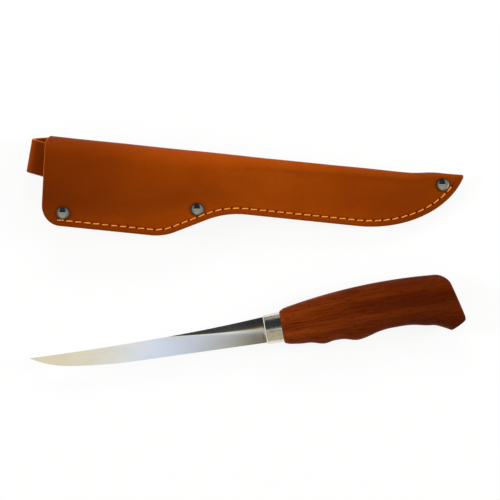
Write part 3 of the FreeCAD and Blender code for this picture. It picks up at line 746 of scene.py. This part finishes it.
def buildWelt():
    look, form = weltStrip, sheathForm
    inner = insetPath(form["weltWidth"])
    half, bevel = form["weltHalf"] - look["clear"], look["edgeRound"]
    points, ring = [], 6
    for x in sheathColumns():
        edge = seamEdge(x) + look["setBack"]
        reach = min(pathHeight(inner, x), pouchAt(x)[0] - form["leather"] - bevel)
        if reach - edge < 2 * bevel or x < bevel:
            continue
        outline = ((edge + bevel, half), (edge, half - bevel), (edge, bevel - half),
                   (edge + bevel, -half), (reach, -half), (reach, half))
        points += [(cutBack(x, y), y, z) for y, z in outline]
    faces = tubeFaces(len(points) // ring, ring)
    edgeFinish = makeFinish("cutLeatherEdge")
    piece = linkPiece(
        "seamWelt", sheathPlace, points, faces, edgeFinish, "sheath", sharp=40)
    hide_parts("seam_welt")


buildWelt()

# Thread: plump two-ply stitches that dip into their holes.
stitchForm = {
    "reach": 2.3,
    "radius": 0.39,
    "endTaper": 0.3,
    "rise": 0.16,
    "dip": 0.75,
    "dipPower": 3.2,
    "rings": 15,
    "sides": 12,
    "ply": 0.13,
    "plyTurns": 1.6,
    "slant": 4.0,
}


def stitchTube(middle, direction, outward):
    look = stitchForm
    direction = Matrix.Rotation(math.radians(look["slant"]), 3, outward) @ direction
    sideways = outward.cross(direction)
    points = []
    for ring in range(look["rings"]):
        share = 2 * ring / (look["rings"] - 1) - 1
        centre = middle + direction * (share * look["reach"])
        centre = centre + outward * (look["rise"] - look["dip"] * abs(share) ** look["dipPower"])
        radius = look["radius"] * (1 - look["endTaper"] * share ** 4)
        for angle in turnAngles(look["sides"]):
            twist = 2 * angle + 2 * math.pi * look["plyTurns"] * share
            spread = sideways * math.cos(angle) + outward * math.sin(angle)
            points.append(centre + spread * (radius * (1 + look["ply"] * math.cos(twist))))
    return points


def buildStitches(name, node, place, spots):
    points, faces = [], []
    for spot in spots:
        faces += tubeFaces(stitchForm["rings"], stitchForm["sides"], len(points))
        points += stitchTube(*spot)
    piece = linkPiece(name, place, points, faces, thread, "sheath")
    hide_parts(node)


def seamSpots(side):
    level = sheathForm["weltHalf"] + sheathForm["leather"] - leatherRelief["groove"]
    outward = Vector((0, 0, side))
    return [(mark.to_3d() + outward * level, direction.to_3d(), outward) for mark, direction in marks]


buildStitches("seamThreadFront", "seam_thread_front", sheathPlace, seamSpots(1))
buildStitches("seamThreadBack", "seam_thread_back", sheathPlace, seamSpots(-1))

# Belt loop: one strap doubled round on itself, a little askew, so that its upper opening shows.
strapForm = {
    "thick": 1.8,
    "width": 22.0,
    "bendAt": -5.2,
    "bendRadius": 3.65,  # to the middle of the strap
    "flatEnd": 18.6,
    "tailStart": 30.6,
    "tailEnd": 48.6,
    "steps": (22, 24, 10, 10, 8),  # on the seat, bend, flat, slope and tail
    "edgeRound": 0.6,
    "edgeInset": 0.3,  # share of the rounding that its middle point is set in
    "faceSteps": 14,
    "rimWidth": 0.45,
    "rimShare": 0.95,
    "skew": (-0.3, 4.6),  # on the seat, and on the tail
    "skewSpan": (0.38, 0.61),  # share of the strap's length over which it goes askew
    "lean": 0.07,
    "clear": 0.03,
}


def strapPath():
    # middle of the strap's thickness, from the seat's end round the bend to the tail's end
    look = strapForm
    half, radius, bendAt = look["thick"] / 2, look["bendRadius"], look["bendAt"]
    flatEnd, tailStart, tailEnd = look["flatEnd"], look["tailStart"], look["tailEnd"]
    low, tail = -half - 2 * radius, -3 * half - look["clear"]
    seat, bend, flat, slope, sewn = (
        [step / count for step in range(count + 1)] for count in look["steps"])
    path = [(between(tailEnd, bendAt, share), -half) for share in seat[:-1]]
    for share in bend:
        angle = math.pi * (0.5 + share)
        path.append((bendAt + radius * math.cos(angle), -half - radius + radius * math.sin(angle)))
    path += [(between(bendAt, flatEnd, share), low) for share in flat[1:]]
    path += [(between(flatEnd, tailStart, share), between(low, tail, ease(share)))
             for share in slope[1:]]
    path += [(between(tailStart, tailEnd, share), tail) for share in sewn[1:]]
    return path


def strapOutline():
    # across the strap: y over its width, and height over its thickness
    look = strapForm
    half, side, bevel = look["thick"] / 2, look["width"] / 2, look["edgeRound"]
    inset, steps = bevel * look["edgeInset"], look["faceSteps"]
    upper = [(between(bevel - side, side - bevel, step / steps), half) for step in range(steps + 1)]
    upper += [(side - inset, half - inset), (side, half - bevel), (side, bevel - half),
              (side - inset, inset - half)]
    return upper + [(-y, -z) for y, z in upper]


def buildStrap():
    look, path, outline = strapForm, strapPath(), strapOutline()
    travel, last = pathTravel(path), len(path) - 1
    rimFrom = look["width"] / 2 - look["rimWidth"]
    points, rims = [], []
    for number, (x, z) in enumerate(path):
        before, after = path[max(number - 1, 0)], path[min(number + 1, last)]
        normal = Vector((before[1] - after[1], after[0] - before[0])).normalized()
        skew = between(*look["skew"], shareOf(travel[number] / travel[-1], *look["skewSpan"]))
        for y, height in outline:
            skewed = y + skew
            leaned = x + normal.x * height + look["lean"] * skewed
            points.append((leaned, skewed, z + normal.y * height))
            rims.append(look["rimShare"] if abs(y) > rimFrom or number in (0, last) else 0.0)
    faces = tubeFaces(len(path), len(outline))
    piece = linkPiece(
        "beltLoop", strapPlace, points, faces, leather, "sheath", sharp=60)
    paint(piece, "cutEdge", rims)
    paint(piece, "holeShadeAndDarkFlange", [0.0] * len(points))
    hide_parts("belt_loop")


buildStrap()

# Sewing of the strap's tail: a row along each edge and one across each end.
tailSewing = {
    "margin": 3.2,
    "endInset": 0.9,
}


def tailSpots():
    look, strap = tailSewing, strapForm
    first, last = strap["tailStart"], strap["tailEnd"] - look["margin"]
    edge, start = strap["width"] / 2 - look["margin"], first + look["endInset"]
    acrossSteps = evenSteps(2 * edge, stitchRun["pitch"])
    alongSteps = evenSteps(last - first, stitchRun["pitch"])
    rows = [(x, step - edge, (0, 1, 0)) for x in (start, last) for step in acrossSteps]
    rows += [(start + step, y, (1, 0, 0)) for y in (-edge, edge) for step in alongSteps]
    level, down = -2 * strap["thick"] - strap["clear"], Vector((0, 0, -1))
    spots = []
    for x, y, way in rows:
        y += strap["skew"][1]
        spots.append((Vector((x + strap["lean"] * y, y, level)), Vector(way), down))
    return spots


buildStitches("beltLoopThread", "belt_loop_thread", strapPlace, tailSpots())

# Rivets: low polished domes, a flatter one behind.
rivetForm = {
    "radius": 4.25,
    # from inside the leather round the rim: out from the radius, and height
    "wall": ((-0.1, -0.5), (0.0, 0.1), (0.0, 0.3), (-0.08, 0.49)),
    "rim": 0.55,
    "domeInset": 0.25,
    "shade": (0.70, 0.93),  # share of the radius where the painted shade starts and is full
    "capHeight": 1.9,
    "backHeight": 1.25,
    "rings": 16,
    "sides": 56,
}


def rivetProfile(height):
    # radius and height, up to the middle of the dome
    look = rivetForm
    profile = [(look["radius"] + out, rise) for out, rise in look["wall"]]
    base, rise = look["radius"] - look["domeInset"], height - look["rim"]
    ball = (base ** 2 + rise ** 2) / (2 * rise)
    for ring in range(look["rings"]):
        reach = base * (1 - ring / look["rings"])
        profile.append((reach, height - ball + math.sqrt(ball ** 2 - reach ** 2)))
    return profile


def buildRivet(name, node, spot, side, height):
    level = sheathForm["weltHalf"] + sheathForm["leather"] - leatherRelief["rivetPress"] / 2
    profile, sides = rivetProfile(height), rivetForm["sides"]
    points, shades = [], []
    for radius, rise in profile:
        shades += [shareOf(radius / rivetForm["radius"], *rivetForm["shade"])] * sides
        for angle in turnAngles(sides):
            x, y = spot[0] + radius * math.cos(angle), spot[1] + radius * math.sin(angle)
            points.append((x, y, side * (level + rise)))
    faces = tubeFaces(len(profile), sides)
    piece = linkPiece(name, sheathPlace, points, faces, rivetMetal, "sheath")
    # painted shade round the rim, darkening the dome's outer slope and wall
    paint(piece, "rimShade", shades)
    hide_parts(node)


for name, spot in zip(rivetNames, sheathForm["rivets"]):
    end = name.capitalize()
    buildRivet("rivetCap" + end, "rivet_cap_" + name, spot, 1, rivetForm["capHeight"])
    buildRivet("rivetPost" + end, "rivet_post_" + name, spot, -1, rivetForm["backHeight"])

# The knife's own axes: the ferrule's front face gives the place.
knifeTurn = Matrix.Rotation(math.radians(knifeAngle), 3, "Z")
corners = [knifeTurn.transposed() @ corner.co for corner in nodes["ferrule"].data.vertices]
ferruleLow, ferruleHigh = (
    Vector([pick(corner[axis] for corner in corners) for axis in range(3)]) for pick in (min, max))
knifeStart = (ferruleLow + ferruleHigh) / 2
knifeStart.x = ferruleLow.x
knifePlace = Matrix.Translation(knifeTurn @ knifeStart) @ knifeTurn.to_4x4()
print("knife at", [round(part / mm, 2) for part in knifePlace.translation])

# Grip: superellipse sections along the finger hollows, cut off at the slanted, rounded butt.
gripForm = {
    "frontAt": 10.85,
    "frontRim": 10.65,
    "shoulderRun": 3.0,
    "power": 2.5,
    "hollow": 1.74,
    "soften": 1.6,
    "softSteps": 4,
    # length of each run and the drop below the axis at its end
    "straightIn": ((3.0, 11.9), (8.5, 13.1)),
    "eased": ((14.7, 15.6), (7.5, 14.6), (13.5, 16.95), (27.0, 13.05), (24.0, 16.0)),
    "straightOut": ((6.0, 18.9), (5.5, 22.0)),
    # place along the knife and thickness there
    "thickness": (
        (10.8, 14.4), (13.8, 15.2), (22.3, 16.0), (115.0, 16.0), (120.5, 16.8), (136.0, 18.0)),
    "backRise": 17.9,
    "backCrown": 80.0,
    "backRadius": 369.0,
    "buttAt": 126.1,
    "buttPast": 8,  # no part reaches further behind that
    "buttSlant": math.radians(13.5),
    "heelAt": (120.5, -22.0),
    "heelSlant": math.radians(30),
    "buttRound": 6.0,
    "heelSoft": 2.5,
    "edgeRound": 1.8,
    "edgeSteps": 8,
    "frontRound": 0.8,
    "frontSteps": 5,
    "columns": 150,
    "sides": 96,
}


def gripDropSharp(x):
    look = gripForm
    place, drop = look["frontAt"], look["frontRim"]
    for kind in ("straightIn", "eased", "straightOut"):
        for run, goal in look[kind]:
            last = kind == "straightOut" and (run, goal) == look[kind][-1]
            if x <= place + run or last:
                share = (x - place) / run
                if kind != "eased":
                    return between(drop, goal, share)
                fullness = ease(share if goal > drop else 1 - share) ** look["hollow"]
                return min(drop, goal) + abs(goal - drop) * fullness
            place, drop = place + run, goal


def gripDrop(x):
    soft = min(gripForm["soften"], max(x - gripForm["frontAt"], 0))
    return softened(gripDropSharp, x, soft, gripForm["softSteps"])


def gripBack(x):
    look = gripForm
    back = look["backRise"] - look["backRadius"]
    back += math.sqrt(look["backRadius"] ** 2 - (x - look["backCrown"]) ** 2)
    return between(look["frontRim"], back, min((x - look["frontAt"]) / look["shoulderRun"], 1))


def signedPower(value, power):
    return math.copysign(abs(value) ** power, value)


def gripPoint(x, angle, inset=0.0):
    top, drop, wide = gripBack(x), gripDrop(x), pathHeight(gripForm["thickness"], x)
    middle, half = (top - drop) / 2, (top + drop) / 2
    up, out, power = math.cos(angle), math.sin(angle), 2 / gripForm["power"]
    y, z = signedPower(up, power), signedPower(out, power)
    normal = Vector((signedPower(up, 2 - power) / half, signedPower(out, 2 - power) * 2 / wide))
    normal = normal.normalized()
    return middle + half * y - normal.x * inset, wide / 2 * z - normal.y * inset


def gripEnd(x, y):
    # how far the grip reaches at height y: the rounded butt, or the heel under the hook
    look = gripForm
    butt = look["buttAt"] - y * math.tan(look["buttSlant"])
    butt -= roundDrop(max(gripBack(x) - y, 0.001), look["buttRound"])
    heel = look["heelAt"][0] + (y - look["heelAt"][1]) / math.tan(look["heelSlant"])
    return softLesser(butt, heel, look["heelSoft"])


def gripReach(angle):
    # halves the search until the end is found
    low, high = gripForm["frontAt"], gripForm["buttAt"] + gripForm["buttPast"]
    for _ in range(40):
        x = (low + high) / 2
        if x < gripEnd(x, gripPoint(x, angle)[0]):
            low = x
        else:
            high = x
    return low


def buildGrip():
    look = gripForm
    edge, front, sides = look["edgeRound"], look["frontRound"], look["sides"]
    angles = turnAngles(sides)
    reaches = [gripReach(angle) for angle in angles]
    start, count = look["frontAt"] + front, look["columns"]
    # share of the way, shift from there and inset
    columns = [(0, gap - front, drop) for gap, drop in roundSteps(front, look["frontSteps"])]
    columns += [((step + 1) / count, 0, 0) for step in range(count - 1)]
    columns += [(1, edge - gap, drop) for gap, drop in reversed(roundSteps(edge, look["edgeSteps"]))]
    points = []
    for share, shift, inset in columns:
        for angle, reach in zip(angles, reaches):
            x = between(start, reach - edge, share) + shift
            points.append((x, *gripPoint(x, angle, inset)))
    faces = ringFaces(len(columns), sides)
    for base in (0, len(points) - sides):
        for step in range(sides // 2):
            corners = (step, step + 1, (sides - step - 1) % sides, (sides - step) % sides)
            faces.append(tuple(base + corner for corner in dict.fromkeys(corners)))
    piece = linkPiece("grip", knifePlace, points, faces, wood, "knife")
    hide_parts("handle")


buildGrip()

# Ferrule: an oval cup with a rolled front edge.
ferruleForm = {
    "length": 10.8,
    "front": (19.0, 12.8),  # height and thickness
    "rear": (19.9, 13.6),
    "frontRound": 1.0,
    "rearRound": 0.25,
    "roundSteps": 8,
    "sideRings": (0.25, 0.4, 0.55, 0.7, 0.85),
    "faceRing": 0.3,  # keeps the front face flat inside the rolled edge
    "lip": 0.6,  # how far the rolled edge stands out over the blade's heel
    "sides": 120,
}


def buildFerrule():
    look = ferruleForm
    front, rear, length = look["frontRound"], look["rearRound"], look["length"]
    rings = [(-look["lip"], front + look["faceRing"])]
    rings += [(gap - look["lip"], drop) for gap, drop in roundSteps(front, look["roundSteps"])]
    rings += [(length * share, 0.0) for share in look["sideRings"]]
    rings += [(length - gap, drop) for gap, drop in reversed(roundSteps(rear, look["roundSteps"]))]
    points = []
    for x, inset in rings:
        tall, thick = (between(*ends, x / length) for ends in zip(look["front"], look["rear"]))
        for angle in turnAngles(look["sides"]):
            y, z = (tall / 2 - inset) * math.cos(angle), (thick / 2 - inset) * math.sin(angle)
            points.append((x, y, z))
    faces = tubeFaces(len(rings), look["sides"])
    piece = linkPiece(
        "knifeFerrule", knifePlace, points, faces, ferruleMetal, "knife", sharp=50)
    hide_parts("ferrule")


buildFerrule()

# Blade: slim and upswept, ground from a soft plunge by the ferrule to the point.
bladeForm = {
    "stock": 1.9,
    "edge": 0.35,
    "tuckIn": 1.0,
    # arcs and a line, each from the nearer end to the farther one, with its radius
    "spine": (((0.0, 8.6), (-65.0, 6.65), 1050.0), ((-65.0, 6.65), (-154.6, 8.4), 1850.0)),
    "belly": (((0.0, -8.4), (-85.3, -5.5), 0.0), ((-85.3, -5.5), (-130.3, -1.0), 340.0),
              ((-130.3, -1.0), (-154.6, 8.4), 64.0)),
    "grindFrom": 6.5,
    "grindLength": 150.0,
    "grindFoot": (-8.4, -3.14),  # height of the grind's foot, by the plunge and at the point
    "grindSlope": (0.0842, 0.0195),
    "grindSoft": (0.012, 0.16, 45.0),  # at the point, at the heel, and how far the heel's reaches
    "plunge": (-0.5, 2.5),  # the ground faces start here and are full here
    "rows": 44,
    "rowCrowding": 1.5,  # rows stand closer by the spine
    "column": 0.7,
    "pointColumn": (0.2, 0.03),  # share of the way to the point, and the least step
}


def arcHeight(x, runs):
    for (x0, y0), (x1, y1), radius in runs:
        if x < x1:
            continue
        if x > x0:
            return y0
        if not radius:
            return between(y0, y1, (x - x0) / (x1 - x0))
        span = math.dist((x0, y0), (x1, y1))
        lift = math.sqrt(radius ** 2 - span ** 2 / 4) / span
        middleX, middleY = (x0 + x1) / 2 + (y1 - y0) * lift, (y0 + y1) / 2 - (x1 - x0) * lift
        return middleY - math.sqrt(radius ** 2 - (x - middleX) ** 2)
    return runs[-1][1][1]


def bladeHalf(x, y):
    # half thickness: the stock, less what the grind takes off
    look = bladeForm
    share = clamp((-x - look["grindFrom"]) / look["grindLength"])
    foot, slope = between(*look["grindFoot"], share), between(*look["grindSlope"], share)
    pointSoft, heelSoft, softRun = look["grindSoft"]
    soft = between(pointSoft, heelSoft, max(1 + x / softRun, 0) ** 2)
    edge, stock = look["edge"] / 2, look["stock"] / 2
    ground = softLesser(edge + (y - foot) * slope, stock, soft)
    return between(stock, max(ground, edge), ease(shareOf(-x, *look["plunge"])))


def buildBlade():
    look, length = bladeForm, -bladeForm["spine"][-1][1][0]
    rows, columns, x = look["rows"], [], look["tuckIn"]
    pointShare, leastStep = look["pointColumn"]
    while x > -length:
        columns.append(x)
        x -= min(look["column"], max((length + x) * pointShare, leastStep))
    points = []
    for x in columns:
        low, high = arcHeight(x, look["belly"]), arcHeight(x, look["spine"])
        shares = [1 - (1 - row / (rows - 1)) ** look["rowCrowding"] for row in range(rows)]
        side = [(y, bladeHalf(x, y)) for y in (between(low, high, share) for share in shares)]
        points += [(x, y, z) for y, z in side] + [(x, y, -z) for y, z in reversed(side)]
    faces = foldFaces(len(columns), 2 * rows)
    piece = linkPiece(
        "knifeBlade", knifePlace, points, faces, steel, "knife", sharp=32)
    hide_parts("blade")


buildBlade()

# Studio: pale floor, a bright tent with a dark gap overhead, and three soft lights.
studio = {
    "floorSize": 8.0,
    "floorGlow": 0.88,
    "tent": (1.9, 1.9, 1.9),
    # the tent from the near side over the top to the far side: slope of the view, and tone
    "arch": (
        (-2.4, (0.55, 0.50, 0.38)),
        (-0.40, (0.50, 0.46, 0.36)),
        (-0.205, (0.25, 0.22, 0.15)),
        (-0.185, (0.52, 0.51, 0.47)),
        (-0.165, (0.74, 0.83, 1.0)),
        (-0.145, (0.74, 0.83, 1.0)),
        (-0.122, (0.92, 0.86, 0.66)),
        (-0.078, (0.92, 0.83, 0.57)),
        (-0.054, (0.03, 0.034, 0.045)),
        (1.4, (0.03, 0.034, 0.045)),
        (2.1, (0.52, 0.51, 0.46)),
    ),
    "sideTone": (0.36, 0.36, 0.37),
    "archAcross": (0.55, 1.0),  # where the arch turns into the plain side tone
    "gapAcross": (2.6, 4.5),  # where that turns into the bright tent
    "leastRise": 0.02,  # keeps the slopes finite at the horizon
    # place, size and power of each soft light: one behind the sheath, one at either end
    "lights": {
        "backLight": ((0.05, 1.65, 0.9), (1.4, 0.45), 17.0),
        "leftLight": ((-1.6, 0.2, 0.68), (0.6, 0.5), 20.0),
        "rightLight": ((1.6, 0.2, 0.68), (0.6, 0.5), 20.0),
    },
}


def buildFloor():
    half = studio["floorSize"]
    mesh = bpy.data.meshes.new("floor")
    corners = [(-half, -half, 0), (half, -half, 0), (half, half, 0), (-half, half, 0)]
    mesh.from_pydata(corners, [], [(0, 1, 2, 3)])
    floor = bpy.data.objects.new("floor", mesh)
    bpy.context.scene.collection.objects.link(floor)
    finish = makeFinish("paleFloor")
    tree = finish.node_tree
    # white for the camera, mirrors and glass; the rest keeps the shadow
    glow = addNode(tree, "ShaderNodeEmission", {"Color": (1, 1, 1, 1), "Strength": 1.0})
    rays = addNode(tree, "ShaderNodeLightPath").outputs
    seen = addMath(tree, "MAXIMUM", rays["Is Camera Ray"], rays["Is Glossy Ray"])
    seen = addMath(tree, "MAXIMUM", seen, rays["Is Transmission Ray"])
    mixed = addNode(tree, "ShaderNodeMixShader")
    tree.links.new(addMath(tree, "MULTIPLY", seen, studio["floorGlow"]), mixed.inputs[0])
    tree.links.new(tree.nodes["Principled BSDF"].outputs[0], mixed.inputs[1])
    tree.links.new(glow.outputs[0], mixed.inputs[2])
    tree.links.new(mixed.outputs[0], tree.nodes["Material Output"].inputs["Surface"])
    mesh.materials.append(finish)


def buildTent():
    world = bpy.data.worlds.new("tent")
    bpy.context.scene.world = world
    world.use_nodes = True
    tree = world.node_tree
    coordinates = addNode(tree, "ShaderNodeTexCoord")
    parts = addNode(tree, "ShaderNodeSeparateXYZ")
    tree.links.new(coordinates.outputs["Generated"], parts.inputs["Vector"])
    up = addMath(tree, "MAXIMUM", parts.outputs["Z"], studio["leastRise"])
    sideways = addMath(tree, "ABSOLUTE", addMath(tree, "DIVIDE", parts.outputs["X"], up), 0)
    forward = addMath(tree, "DIVIDE", parts.outputs["Y"], up)
    slopes, tones = zip(*studio["arch"])
    low, high = slopes[0], -slopes[0]
    place = addRange(tree, forward, low, high, 0, 1, "LINEAR")
    tone = addRamp(tree, place, [(slope - low) / (high - low) for slope in slopes], tones)
    for span, beyond in (("archAcross", "sideTone"), ("gapAcross", "tent")):
        inside = addRange(tree, sideways, *studio[span], 1, 0)
        tone = addMix(tree, inside, studio[beyond], tone)
    tree.links.new(tone, tree.nodes["Background"].inputs["Color"])


def buildLight(name, place, size, power):
    lamp = bpy.data.lights.new(name, "AREA")
    lamp.shape = "RECTANGLE"
    lamp.size, lamp.size_y = size
    lamp.energy = power
    light = bpy.data.objects.new(name, lamp)
    light.location = place
    light.visible_glossy = False  # metal mirrors the tent, not the lamps
    light.rotation_euler = (-light.location).to_track_quat("-Z", "Y").to_euler()
    bpy.context.scene.collection.objects.link(light)


buildFloor()
buildTent()
for name, settings in studio["lights"].items():
    buildLight(name, *settings)

# Camera: straight down from far off, with the photo's field.
cameraView = {
    "middle": (0.00269, 0.00076),
    "field": 0.325,
    "height": 1.7,
    "level": 0.012,  # height of the surfaces that the field is measured at
    "sensor": 36.0,
    "farthest": 20,
}


def buildCamera():
    look = cameraView
    lens = bpy.data.cameras.new("camera")
    lens.sensor_width = look["sensor"]
    lens.lens = look["sensor"] * (look["height"] - look["level"]) / look["field"]
    lens.clip_end = look["farthest"]
    camera = bpy.data.objects.new("camera", lens)
    camera.location = (*look["middle"], look["height"])
    bpy.context.scene.collection.objects.link(camera)
    bpy.context.scene.camera = camera


buildCamera()
bpy.context.scene.view_settings.view_transform = "Standard"
print("studio and camera set")
